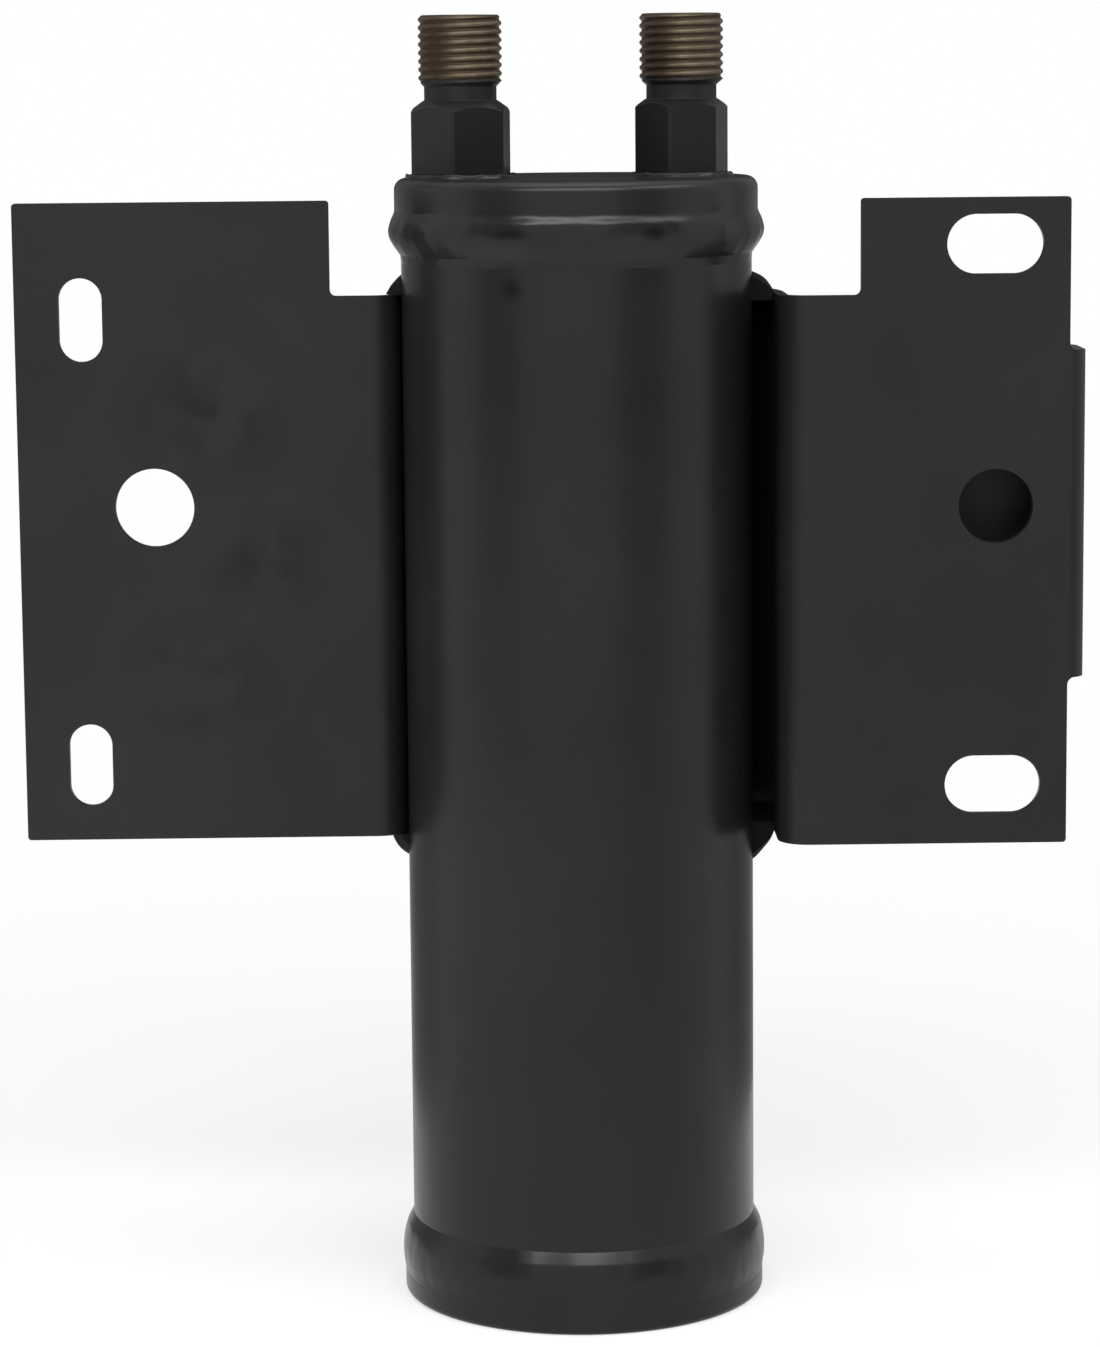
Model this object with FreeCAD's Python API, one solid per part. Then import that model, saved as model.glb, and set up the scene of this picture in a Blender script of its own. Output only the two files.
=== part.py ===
import math
import os

import FreeCAD, Part
from FreeCAD import Vector

# Receiver drier: a welded steel canister with two threaded ports on its top plate,
# held by one folded sheet that wraps its back and opens into two wings.
# Millimetres, +Z up, the origin at the middle of the flat bottom, -Y towards the viewer.

# Canister
body_od = 60.3
body_wall = 1.6
can_height = 196.0
top_rim_overhang = 1.05
top_rim_thick = 6.0
top_edge_r = 2.0
bottom_rim_overhang = 1.55
bottom_rim_thick = 3.8
bottom_edge_r = 1.2
spigot_depth = 4.0
spigot_gap = 0.1

# Weld beads round the two ends
top_bead_width = 8.4
top_bead_bulge = 0.9
top_bead_crown_drop = 3.4
top_bead_toe = 1.3
top_bead_toe_rise = 0.5
bottom_bead_width = 10.5
bottom_bead_bulge = 0.5
bottom_bead_crown_rise = 3.2
bottom_bead_toe = 2.3
bottom_bead_toe_rise = 1.15

# Threaded ports, turned from hexagon bar
thread_od = 14.29
thread_length = 12.1
thread_top_chamfer = 0.6
thread_foot_chamfer = 1.0
neck_length = 2.4
hex_height = 13.0
hex_land = 0.3
hex_chamfer_angle = 36.0
port_bore = 7.9
stem_od = 12.7
stem_gap = 0.05
stem_below = 3.0
port_weld = 1.3
port_weld_land = 0.2
inlet_edge = 1.38
inlet_flats = 15.88
inlet_turn = -7.8
inlet_neck_od = 12.4
outlet_edge = 3.7
outlet_flats = 14.29
outlet_turn = -17.7
outlet_neck_od = 12.0

# Folded bracket
sheet = 2.0
saddle_gap = 0.1
bend_inner_r = 3.3
left_leg = 0.3
right_leg = 13.3
right_gap = 3.3
wing_drop = 3.6
wing_height = 110.0
wing_corner_r = 0.6
notch_gap = 5.4
notch_corner_r = 1.0
left_web = 6.75
left_panel = 53.9
right_web = 8.55
right_panel = 35.3
tab_up = 28.5
tab_height = 55.8
tab_bend_r = 1.0
tab_relief_r = 1.3
tab_return = 27.0

# Slots and holes, placed from the wings' outer, lower and upper edges
left_slot_width = 7.4
left_slot_length = 14.3
left_slot_in = 11.3
left_slot_up = 13.1
left_slot_down = 19.9
left_hole_d = 13.5
left_hole_in = 23.3
left_hole_up = 57.8
right_slot_width = 10.0
right_slot_length = 16.3
right_slot_in = 12.7
right_slot_up = 10.2
right_slot_down = 7.8
right_hole_d = 12.5
right_hole_in = 12.4
right_hole_up = 58.0

# Welds that hold the bracket, at its four corners beside the canister
corner_weld_height = 3.9
corner_weld_width = 3.0
corner_weld_ahead = 4.0
corner_weld_behind = 14.0
corner_weld_fullness = 0.6
low_right_weld_height = 5.2
right_weld_land = 0.45
right_weld_root = 1.5

# Pickup tube and strainer
tube_od = 9.53
tube_wall = 0.9
tube_socket = 6.0
tube_fit = 0.03
tube_braze = 1.2
strainer_wall = 0.5
strainer_height = 16.0
strainer_grip = 5.0
strainer_foot_gap = 3.0
strainer_hole_d = 3.0
strainer_holes_round = 6

# Desiccant bed between perforated plates, held down by a spring
plate_thick = 1.2
plate_rim = 5.0
plate_fit = 0.05
plate_tube_gap = 0.3
plate_hole_d = 4.2
plate_edge = 2.7
plate_rings = 3
plate_first_ring = 2
plate_holes_per_ring = 3
lower_plate_gap = 3.0
pad_thick = 5.0
bed_gap = 0.2
spring_length = 32.0
spring_wire = 2.2
spring_turns = 2.5
spring_side_gap = 1.6
spring_boss_height = 2.0
spring_boss_gap = 0.4

# How far a cutter reaches past the metal, and how near counts as equal
past = 1.0
near = 0.01

# Places that follow from those sizes
body_r = body_od / 2
bore_r = body_r - body_wall
top_rim_r = body_r + top_rim_overhang
bottom_rim_r = body_r + bottom_rim_overhang
inlet_corner_r = inlet_flats / 2 / math.cos(math.pi / 6)
outlet_corner_r = outlet_flats / 2 / math.cos(math.pi / 6)
inlet_x = inlet_corner_r + inlet_edge - body_r
outlet_x = body_r - outlet_corner_r - outlet_edge
shell_bottom_z = bottom_rim_thick
shell_top_z = can_height - top_rim_thick
floor_z = shell_bottom_z + spigot_depth
ceiling_z = shell_top_z - spigot_depth
hex_top_z = can_height + hex_height
thread_low_z = hex_top_z + neck_length
port_top_z = thread_low_z + thread_length
stem_low_z = ceiling_z - stem_below
tube_r = tube_od / 2
tube_top_z = stem_low_z + tube_socket
strainer_z = floor_z + strainer_foot_gap
strainer_top_z = strainer_z + strainer_height
tube_low_z = strainer_top_z - strainer_grip
saddle_r = body_r + saddle_gap
bend_outer_r = bend_inner_r + sheet
tab_outer_r = tab_bend_r + sheet
left_front_y = -(left_leg + bend_outer_r)
right_front_y = -(right_leg + bend_outer_r)
wall_y = left_front_y + sheet
wing_top_z = can_height - wing_drop
wing_bottom_z = wing_top_z - wing_height
notch_z = shell_top_z - top_bead_width - notch_gap
left_notch_out = saddle_r + bend_outer_r + left_web
left_wing_out = left_notch_out + left_panel
leg_r = saddle_r + right_gap
right_bend_x = leg_r + bend_outer_r
right_notch_out = right_bend_x + right_web
right_wing_out = right_notch_out + right_panel
left_slot_x = left_slot_in - left_wing_out
left_hole_x = left_hole_in - left_wing_out
left_hole_z = wing_bottom_z + left_hole_up
right_slot_x = right_wing_out - right_slot_in
right_hole_x = right_wing_out - right_hole_in
right_hole_z = wing_bottom_z + right_hole_up
tab_bottom_z = wing_bottom_z + tab_up
tab_top_z = tab_bottom_z + tab_height
lower_plate_z = strainer_top_z + lower_plate_gap
lower_pad_z = lower_plate_z + plate_thick
bed_low_z = lower_pad_z + pad_thick
spring_z = ceiling_z - spring_length
upper_plate_z = spring_z - plate_thick
bed_high_z = upper_plate_z - pad_thick
spring_od = 2 * (min(-inlet_x, outlet_x) - stem_od / 2 - spring_side_gap)

X_AXIS = Vector(1, 0, 0)
Y_AXIS = Vector(0, 1, 0)
Z_AXIS = Vector(0, 0, 1)
ORIGIN = Vector(0, 0, 0)


def cylinder(radius, z_low, z_high, x=0.0):
    return Part.makeCylinder(radius, z_high - z_low, Vector(x, 0, z_low), Z_AXIS)


def box(x_low, x_high, y_low, y_high, z_low, z_high):
    size = (x_high - x_low, y_high - y_low, z_high - z_low)
    return Part.makeBox(*size, Vector(x_low, y_low, z_low))


def line(a, b):
    return Part.LineSegment(a, b).toShape()


def arc(a, through, b):
    return Part.Arc(a, through, b).toShape()


def at(radius, z):
    """A point of a half section, which is drawn in the XZ plane."""
    return Vector(radius, 0, z)


def turned(edges, degrees=360.0):
    """A closed half section turned about the Z axis."""
    return Part.Face(Part.Wire(edges)).revolve(ORIGIN, Z_AXIS, degrees)


def polygon(points):
    return [line(a, b) for a, b in zip(points, points[1:] + points[:1])]


# Canister

def canister_shell():
    """The drawn tube, open at both ends until the end plates close it."""
    outer = cylinder(body_r, shell_bottom_z, shell_top_z)
    return outer.cut(cylinder(bore_r, shell_bottom_z, shell_top_z))


def top_plate():
    """The upper end plate: a rim that caps the tube, a spigot that centres it, two bores."""
    spigot_r = bore_r - spigot_gap
    corner_z = can_height - top_edge_r
    corner_x = top_rim_r - top_edge_r
    middle = top_edge_r * math.sqrt(0.5)
    edges = [
        line(at(0, ceiling_z), at(spigot_r, ceiling_z)),
        line(at(spigot_r, ceiling_z), at(spigot_r, shell_top_z)),
        line(at(spigot_r, shell_top_z), at(top_rim_r, shell_top_z)),
        line(at(top_rim_r, shell_top_z), at(top_rim_r, corner_z)),
        arc(at(top_rim_r, corner_z), at(corner_x + middle, corner_z + middle),
            at(corner_x, can_height)),
        line(at(corner_x, can_height), at(0, can_height)),
        line(at(0, can_height), at(0, ceiling_z)),
    ]
    plate = turned(edges)
    for x in (inlet_x, outlet_x):
        plate = plate.cut(cylinder(stem_od / 2 + stem_gap, ceiling_z, can_height, x))
    return plate


def bottom_plate():
    """The lower end plate, whose flat face the drier stands on."""
    spigot_r = bore_r - spigot_gap
    corner_x = bottom_rim_r - bottom_edge_r
    middle = bottom_edge_r * math.sqrt(0.5)
    edges = [
        line(at(0, 0), at(corner_x, 0)),
        arc(at(corner_x, 0), at(corner_x + middle, bottom_edge_r - middle),
            at(bottom_rim_r, bottom_edge_r)),
        line(at(bottom_rim_r, bottom_edge_r), at(bottom_rim_r, shell_bottom_z)),
        line(at(bottom_rim_r, shell_bottom_z), at(spigot_r, shell_bottom_z)),
        line(at(spigot_r, shell_bottom_z), at(spigot_r, floor_z)),
        line(at(spigot_r, floor_z), at(0, floor_z)),
        line(at(0, floor_z), at(0, 0)),
    ]
    return turned(edges)


def top_weld_bead():
    """The fat bead under the top rim: it swells past the rim, then tapers to the tube."""
    low_z = shell_top_z - top_bead_width
    crown = at(top_rim_r + top_bead_bulge, shell_top_z - top_bead_crown_drop)
    shoulder = at(body_r + top_bead_toe_rise, low_z + top_bead_toe)
    edges = [
        line(at(body_r, low_z), at(body_r, shell_top_z)),
        line(at(body_r, shell_top_z), at(top_rim_r, shell_top_z)),
        arc(at(top_rim_r, shell_top_z), crown, shoulder),
        line(shoulder, at(body_r, low_z)),
    ]
    return turned(edges)


def bottom_weld_bead():
    """The bead over the bottom rim: a long low swell with a steep upper toe."""
    high_z = shell_bottom_z + bottom_bead_width
    crown = at(bottom_rim_r + bottom_bead_bulge, shell_bottom_z + bottom_bead_crown_rise)
    shoulder = at(body_r + bottom_bead_toe_rise, high_z - bottom_bead_toe)
    edges = [
        line(at(body_r, shell_bottom_z), at(bottom_rim_r, shell_bottom_z)),
        arc(at(bottom_rim_r, shell_bottom_z), crown, shoulder),
        line(shoulder, at(body_r, high_z)),
        line(at(body_r, high_z), at(body_r, shell_bottom_z)),
    ]
    return turned(edges)


# Ports

def hexagon(corner_r, turn, z_low, z_high, x):
    """A hexagonal bar with one corner turned by so many degrees from -Y."""
    corners = []
    for step in range(6):
        angle = math.radians(turn + 60 * step)
        corners.append(Vector(x + corner_r * math.sin(angle), -corner_r * math.cos(angle), z_low))
    face = Part.Face(Part.Wire(polygon(corners)))
    return face.extrude(Vector(0, 0, z_high - z_low))


def port_fitting(x, corner_r, turn, neck_od, has_socket):
    """One turned piece: a stem through the plate, the hexagon, a neck and the thread."""
    neck_r = neck_od / 2
    thread_r = thread_od / 2
    land_r = neck_r + hex_land
    wide_r = corner_r + past
    chamfer_drop = (wide_r - land_r) * math.tan(math.radians(hex_chamfer_angle))
    cone = turned(polygon([at(0, can_height), at(wide_r, can_height),
                           at(wide_r, hex_top_z - chamfer_drop),
                           at(land_r, hex_top_z), at(0, hex_top_z)]))
    cone.translate(Vector(x, 0, 0))
    nut = hexagon(corner_r, turn, can_height, hex_top_z, x).common(cone)
    spindle = turned(polygon([
        at(0, stem_low_z), at(stem_od / 2, stem_low_z), at(stem_od / 2, can_height),
        at(neck_r, can_height), at(neck_r, thread_low_z),
        at(thread_r, thread_low_z + thread_foot_chamfer),
        at(thread_r, port_top_z - thread_top_chamfer),
        at(thread_r - thread_top_chamfer, port_top_z), at(0, port_top_z)]))
    spindle.translate(Vector(x, 0, 0))
    fitting = nut.fuse(spindle)
    fitting = fitting.cut(cylinder(port_bore / 2, stem_low_z, port_top_z, x))
    if has_socket:
        fitting = fitting.cut(cylinder(tube_r + tube_fit, stem_low_z, tube_top_z, x))
    return fitting.removeSplitter()


def inlet_fitting():
    return port_fitting(inlet_x, inlet_corner_r, inlet_turn, inlet_neck_od, False)


def outlet_fitting():
    return port_fitting(outlet_x, outlet_corner_r, outlet_turn, outlet_neck_od, True)


def port_weld_ring(x, corner_r, turn):
    """The small fillet weld round the foot of a hexagon, kept to the plate's flat top."""
    top_z = can_height + port_weld
    ring = Part.makeCone(corner_r + port_weld, corner_r + port_weld_land, port_weld,
                         Vector(x, 0, can_height), Z_AXIS)
    ring = ring.common(cylinder(top_rim_r - top_edge_r, can_height, top_z))
    return ring.cut(hexagon(corner_r, turn, can_height, top_z, x))


def inlet_weld_ring():
    return port_weld_ring(inlet_x, inlet_corner_r, inlet_turn)


def outlet_weld_ring():
    return port_weld_ring(outlet_x, outlet_corner_r, outlet_turn)


# Folded bracket

def bend(centre_x, centre_y, radius, start, end):
    """An arc of a fold, seen from above, between two angles in degrees."""
    points = []
    for angle in (start, (start + end) / 2, end):
        turn = math.radians(angle)
        points.append(Vector(centre_x + radius * math.cos(turn),
                             centre_y + radius * math.sin(turn), 0))
    return arc(*points)


def folded(path, z_low, z_high):
    """Sheet metal stood on edge: the path is its near face, seen from above."""
    section = Part.Wire(path).makeOffset2D(-sheet, 0, True, True)
    section.translate(Vector(0, 0, z_low))
    return section.extrude(Vector(0, 0, z_high - z_low))


def saddle_and_wings():
    """The main strip: left wing, saddle round the back of the tube, right leg and wing.

    The saddle hugs the tube's left and back, then opens, so that the right leg stands off.
    """
    left_bend_x = -saddle_r - bend_outer_r
    path = [
        line(Vector(-left_wing_out, left_front_y, 0), Vector(left_bend_x, left_front_y, 0)),
        bend(left_bend_x, -left_leg, bend_outer_r, -90, 0),
        line(Vector(-saddle_r, -left_leg, 0), Vector(-saddle_r, 0, 0)),
        bend(0, 0, saddle_r, 180, 90),
        bend(0, -right_gap, leg_r, 90, 0),
        line(Vector(leg_r, -right_gap, 0), Vector(leg_r, -right_leg, 0)),
        bend(right_bend_x, -right_leg, bend_outer_r, 180, 270),
        line(Vector(right_bend_x, right_front_y, 0), Vector(right_wing_out, right_front_y, 0)),
    ]
    return folded(path, wing_bottom_z, wing_top_z)


def return_tab():
    """The tab on the right wing: folded back, then inwards behind the round hole."""
    corner_y = right_front_y + tab_outer_r
    return_y = wall_y - tab_outer_r
    out_x = right_wing_out + tab_outer_r
    path = [
        line(Vector(right_wing_out - sheet, right_front_y, 0),
             Vector(right_wing_out, right_front_y, 0)),
        bend(right_wing_out, corner_y, tab_outer_r, -90, 0),
        line(Vector(out_x, corner_y, 0), Vector(out_x, return_y, 0)),
        bend(right_wing_out, return_y, tab_outer_r, 0, 90),
        line(Vector(right_wing_out, wall_y, 0), Vector(right_wing_out - tab_return, wall_y, 0)),
    ]
    tab = folded(path, tab_bottom_z - tab_relief_r, tab_top_z + tab_relief_r)
    centre_x = right_wing_out + tab_relief_r
    far_x = out_x + past
    near_x = right_wing_out - tab_return - past
    for edge_z, side in ((tab_bottom_z, -1), (tab_top_z, 1)):
        centre_z = edge_z + side * tab_relief_r
        low_z, high_z = sorted((edge_z, centre_z + side * past))
        low_y = right_front_y - past
        high_y = wall_y + past
        tab = tab.cut(box(centre_x, far_x, low_y, high_y, low_z, high_z))
        tab = tab.cut(box(near_x, far_x, right_front_y + tab_outer_r, high_y, low_z, high_z))
        tab = tab.cut(Part.makeCylinder(tab_relief_r, 2 * tab_outer_r,
                                        Vector(centre_x, low_y, centre_z), Y_AXIS))
    return tab


def slot(x, z, width, length, upright):
    """A cutter through the sheet with round ends, standing or lying."""
    radius = width / 2
    half = (length - width) / 2
    low_y = right_front_y - past
    depth = left_front_y + sheet + past - low_y
    if upright:
        cutter = box(x - radius, x + radius, low_y, low_y + depth, z - half, z + half)
        ends = ((x, z - half), (x, z + half))
    else:
        cutter = box(x - half, x + half, low_y, low_y + depth, z - radius, z + radius)
        ends = ((x - half, z), (x + half, z))
    for end_x, end_z in ends:
        cutter = cutter.fuse(Part.makeCylinder(radius, depth, Vector(end_x, low_y, end_z), Y_AXIS))
    return cutter


def notch():
    """The cutter that lowers the sheet between the wings, with round inner corners."""
    cutter = box(-left_notch_out, right_notch_out, right_front_y - past, leg_r + sheet + past,
                 notch_z, wing_top_z + past)
    corners = []
    for edge in cutter.Edges:
        bounds = edge.BoundBox
        if bounds.XLength < near and bounds.ZLength < near and abs(bounds.ZMin - notch_z) < near:
            corners.append(edge)
    return cutter.makeFillet(notch_corner_r, corners)


def mounting_bracket():
    """One folded sheet, with its notch, slots, holes and rounded corners."""
    bracket = saddle_and_wings().cut(notch())
    corners = []
    for edge in bracket.Edges:
        bounds = edge.BoundBox
        along_y = bounds.XLength < near and bounds.ZLength < near
        at_end = min(abs(bounds.ZMin - wing_top_z), abs(bounds.ZMin - wing_bottom_z)) < near
        if along_y and at_end and abs(bounds.XMin) > saddle_r + bend_outer_r:
            corners.append(edge)
    bracket = bracket.makeFillet(wing_corner_r, corners)
    bracket = bracket.fuse(return_tab())
    for z in (wing_bottom_z + left_slot_up, wing_top_z - left_slot_down):
        bracket = bracket.cut(slot(left_slot_x, z, left_slot_width, left_slot_length, True))
    for z in (wing_bottom_z + right_slot_up, wing_top_z - right_slot_down):
        bracket = bracket.cut(slot(right_slot_x, z, right_slot_width, right_slot_length, False))
    left_start = Vector(left_hole_x, left_front_y - past, left_hole_z)
    right_start = Vector(right_hole_x, right_front_y - past, right_hole_z)
    through = sheet + 2 * past
    bracket = bracket.cut(Part.makeCylinder(left_hole_d / 2, through, left_start, Y_AXIS))
    bracket = bracket.cut(Part.makeCylinder(right_hole_d / 2, through, right_start, Y_AXIS))
    return bracket.removeSplitter()


def corner_weld(side, top):
    """A fillet weld along one corner of the saddle; a right one also bridges the leg's gap."""
    on_right = side > 0
    way = 1 if top else -1
    edge_z = notch_z if top else wing_bottom_z
    height = low_right_weld_height if on_right and not top else corner_weld_height
    toe_r = leg_r + right_weld_land if on_right else body_r + corner_weld_width
    tip_z = edge_z + way * height
    toe = at(toe_r, edge_z)
    crown = at(body_r + corner_weld_fullness * (toe_r - body_r),
               edge_z + corner_weld_fullness * (tip_z - edge_z))
    edges = [
        line(at(body_r, edge_z), toe),
        arc(toe, crown, at(body_r, tip_z)),
        line(at(body_r, tip_z), at(body_r, edge_z)),
    ]
    ahead = math.degrees(corner_weld_ahead / body_r)
    behind = math.degrees(corner_weld_behind / body_r)
    weld = turned(edges, ahead + behind)
    if on_right:
        root_z = edge_z - way * right_weld_root
        root = turned(polygon([at(body_r, root_z), at(leg_r, root_z),
                               at(leg_r, edge_z), at(body_r, edge_z)]), ahead + behind)
        weld = weld.fuse(root)
    weld.rotate(ORIGIN, Z_AXIS, -ahead)
    if on_right:
        return weld.cut(saddle_and_wings().cut(notch())).removeSplitter()
    return weld.mirror(ORIGIN, X_AXIS)


# Inside the canister

def pickup_tube():
    """The tube that lifts the liquid from the bottom to the outlet."""
    tube = cylinder(tube_r, tube_low_z, tube_top_z, outlet_x)
    return tube.cut(cylinder(tube_r - tube_wall, tube_low_z, tube_top_z, outlet_x))


def pickup_braze_ring():
    """The braze fillet between the pickup tube and the foot of the outlet stem."""
    ring = turned(polygon([at(tube_r, stem_low_z), at(tube_r, stem_low_z - tube_braze),
                           at(tube_r + tube_braze, stem_low_z)]))
    ring.translate(Vector(outlet_x, 0, 0))
    return ring


def strainer():
    """The screen cup pushed over the foot of the pickup tube."""
    outer_r = tube_r + strainer_wall
    cup = cylinder(outer_r, strainer_z, strainer_top_z, outlet_x)
    cup = cup.cut(cylinder(tube_r, strainer_z + strainer_wall, strainer_top_z, outlet_x))
    hole_z = (strainer_z + tube_low_z) / 2
    for step in range(strainer_holes_round):
        angle = 2 * math.pi * step / strainer_holes_round
        way = Vector(math.cos(angle), math.sin(angle), 0)
        cup = cup.cut(Part.makeCylinder(strainer_hole_d / 2, outer_r + past,
                                        Vector(outlet_x, 0, hole_z), way))
    return cup


def perforated_plate(plate_z, rim_up):
    """A dished plate that fits the tube, with rings of holes and a bore for the pickup."""
    rim_r = bore_r - plate_fit
    rim_low = plate_z if rim_up else plate_z + plate_thick - plate_rim
    plate = cylinder(rim_r, rim_low, rim_low + plate_rim)
    hollow_low = plate_z + plate_thick if rim_up else rim_low
    hollow_high = rim_low + plate_rim if rim_up else plate_z
    plate = plate.cut(cylinder(rim_r - plate_thick, hollow_low, hollow_high))
    tube_hole_r = tube_r + plate_tube_gap
    plate = plate.cut(cylinder(tube_hole_r, plate_z, plate_z + plate_thick, outlet_x))
    ring_pitch = (rim_r - plate_thick - plate_edge - plate_hole_d / 2) / plate_rings
    for ring in range(plate_first_ring, plate_rings + 1):
        count = plate_holes_per_ring * ring
        for step in range(count):
            angle = 2 * math.pi * (step + 0.5) / count
            x = ring * ring_pitch * math.cos(angle)
            y = ring * ring_pitch * math.sin(angle)
            if math.hypot(x - outlet_x, y) > tube_hole_r + plate_hole_d:
                hole = Part.makeCylinder(plate_hole_d / 2, plate_thick, Vector(x, y, plate_z))
                plate = plate.cut(hole)
    return plate


def lower_perforated_plate():
    return perforated_plate(lower_plate_z, False)


def upper_perforated_plate():
    """The plate that the spring presses on, with a boss that centres the spring."""
    boss_r = spring_od / 2 - spring_wire - spring_boss_gap
    boss = cylinder(boss_r, spring_z, spring_z + spring_boss_height)
    return perforated_plate(upper_plate_z, True).fuse(boss).removeSplitter()


def bed_layer(z_low, z_high):
    """A round layer of the bed with the hole that the pickup tube passes through."""
    layer = cylinder(bore_r - bed_gap, z_low, z_high)
    return layer.cut(cylinder(tube_r + bed_gap, z_low, z_high, outlet_x))


def lower_filter_pad():
    return bed_layer(lower_pad_z, bed_low_z)


def desiccant_bed():
    return bed_layer(bed_low_z, bed_high_z)


def upper_filter_pad():
    return bed_layer(bed_high_z, upper_plate_z)


def hold_down_spring():
    """A compression spring with ground ends, between the upper plate and the top plate."""
    radius = (spring_od - spring_wire) / 2
    helix = Part.makeHelix(spring_length / spring_turns, spring_length, radius)
    section = Part.Wire(Part.makeCircle(spring_wire / 2, Vector(radius, 0, 0), Y_AXIS))
    coil = Part.Wire(helix).makePipeShell([section], True, True)
    coil.translate(Vector(0, 0, spring_z))
    reach = spring_od
    return coil.common(box(-reach, reach, -reach, reach, spring_z, ceiling_z))


NODES = {
    "canister_shell": canister_shell,
    "top_plate": top_plate,
    "bottom_plate": bottom_plate,
    "top_weld_bead": top_weld_bead,
    "bottom_weld_bead": bottom_weld_bead,
    "inlet_fitting": inlet_fitting,
    "outlet_fitting": outlet_fitting,
    "inlet_weld_ring": inlet_weld_ring,
    "outlet_weld_ring": outlet_weld_ring,
    "mounting_bracket": mounting_bracket,
    "left_top_weld": lambda: corner_weld(-1, True),
    "left_bottom_weld": lambda: corner_weld(-1, False),
    "right_top_weld": lambda: corner_weld(1, True),
    "right_bottom_weld": lambda: corner_weld(1, False),
    "pickup_tube": pickup_tube,
    "pickup_braze_ring": pickup_braze_ring,
    "strainer": strainer,
    "lower_perforated_plate": lower_perforated_plate,
    "lower_filter_pad": lower_filter_pad,
    "desiccant_bed": desiccant_bed,
    "upper_filter_pad": upper_filter_pad,
    "upper_perforated_plate": upper_perforated_plate,
    "hold_down_spring": hold_down_spring,
}

os.makedirs("parts", exist_ok=True)
for name, build in NODES.items():
    shape = build()
    shape.exportStep(f"parts/{name}.step")
    print(f"{name:24s} solids {len(shape.Solids)} valid {shape.isValid()} {shape.Volume:10.1f} mm3")
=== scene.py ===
# %% [markdown]
# Receiver drier, a lesson in hard-surface modelling.
# The real object is a welded steel canister, painted satin black, with two threaded ports on
# its top plate and one folded sheet that holds it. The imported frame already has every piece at
# its real size. Here each piece that shows is modelled again with finer edges, weld ripples
# and a real thread, and then it gets its finish.

# %% Load the frame
import math

import bmesh
import bpy
from mathutils import Euler, Matrix, Vector, noise


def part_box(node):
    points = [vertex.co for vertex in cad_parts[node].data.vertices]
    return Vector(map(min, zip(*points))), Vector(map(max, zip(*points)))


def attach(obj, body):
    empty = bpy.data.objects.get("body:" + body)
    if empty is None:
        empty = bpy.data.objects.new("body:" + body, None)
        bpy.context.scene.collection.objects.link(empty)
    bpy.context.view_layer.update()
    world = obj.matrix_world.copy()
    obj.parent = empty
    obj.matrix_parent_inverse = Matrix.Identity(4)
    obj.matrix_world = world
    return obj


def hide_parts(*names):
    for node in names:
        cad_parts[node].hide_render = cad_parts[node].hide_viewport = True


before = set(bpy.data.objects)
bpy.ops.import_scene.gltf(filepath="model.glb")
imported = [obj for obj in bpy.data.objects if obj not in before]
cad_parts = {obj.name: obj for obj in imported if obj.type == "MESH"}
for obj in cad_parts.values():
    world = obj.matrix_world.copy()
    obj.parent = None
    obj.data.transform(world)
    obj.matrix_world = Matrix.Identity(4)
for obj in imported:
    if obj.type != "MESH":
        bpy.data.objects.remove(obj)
scene = bpy.context.scene
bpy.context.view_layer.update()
print("nodes in the frame:", len(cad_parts))

# %% [markdown]
# The camera stands where the photograph was taken: a little above the top plate, looking down
# by about eight degrees through a long lens. It comes first, because every later choice of
# detail depends on what it sees. The photograph is 1100 by 1347 pixels.

# %% Place the camera
MM = 0.001
camera_place = Vector((-16.4, -714.2, 214.4)) * MM
camera_turn = (81.676, 0.510, -0.976)
focal_pixels = 4137.4
photo_width = 1100

camera_data = bpy.data.cameras.new("camera")
camera_data.sensor_fit = "HORIZONTAL"
camera_data.sensor_width = 36.0
camera_data.lens = camera_data.sensor_width * focal_pixels / photo_width
camera_data.clip_start = 0.01
camera = bpy.data.objects.new("camera", camera_data)
camera.location = camera_place
camera.rotation_euler = Euler([math.radians(angle) for angle in camera_turn])
scene.collection.objects.link(camera)
scene.camera = camera
print("lens in millimetres:", round(camera_data.lens, 1))

# %% [markdown]
# Sizes come from the frame where a node's box gives them, so that each new piece lies on the
# solid that it stands for. What a box can't give, such as a bend's radius, is named here.

# %% Read the main sizes, in millimetres


def low_high(node):
    """The low and the high corner of a node's box, in millimetres."""
    low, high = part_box(node)
    return low / MM, high / MM


shell_low, shell_high = low_high("canister_shell")
top_low, top_high = low_high("top_plate")
_, bottom_high = low_high("bottom_plate")
top_bead_low, _ = low_high("top_weld_bead")
_, bottom_bead_high = low_high("bottom_weld_bead")
inlet_low, inlet_high = low_high("inlet_fitting")
outlet_low, outlet_high = low_high("outlet_fitting")
bracket_low, bracket_high = low_high("mounting_bracket")

body_r = shell_high.x
body_wall = 1.6
top_rim_r = top_high.x
bottom_rim_r = bottom_high.x
can_top = top_high.z
rim_low = shell_high.z
plate_low = top_low.z
floor_high = bottom_high.z
shell_foot = shell_low.z
print("tube radius", round(body_r, 2), "top plate radius", round(top_rim_r, 2),
      "height", round(can_top, 2))

# %% [markdown]
# A piece is finished in the same few steps every time, so one helper does them: close the seam
# of a spin, point the faces outwards, smooth the shading between the sharp edges, and hide the
# frame's solids that the piece stands for. Recalculated normals can come out all inwards on a
# thin ring, and then its volume is negative, so such a piece is turned round.

# %% Finish a bmesh piece
sharp_angle = math.radians(50)
seam = 1e-6


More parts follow.
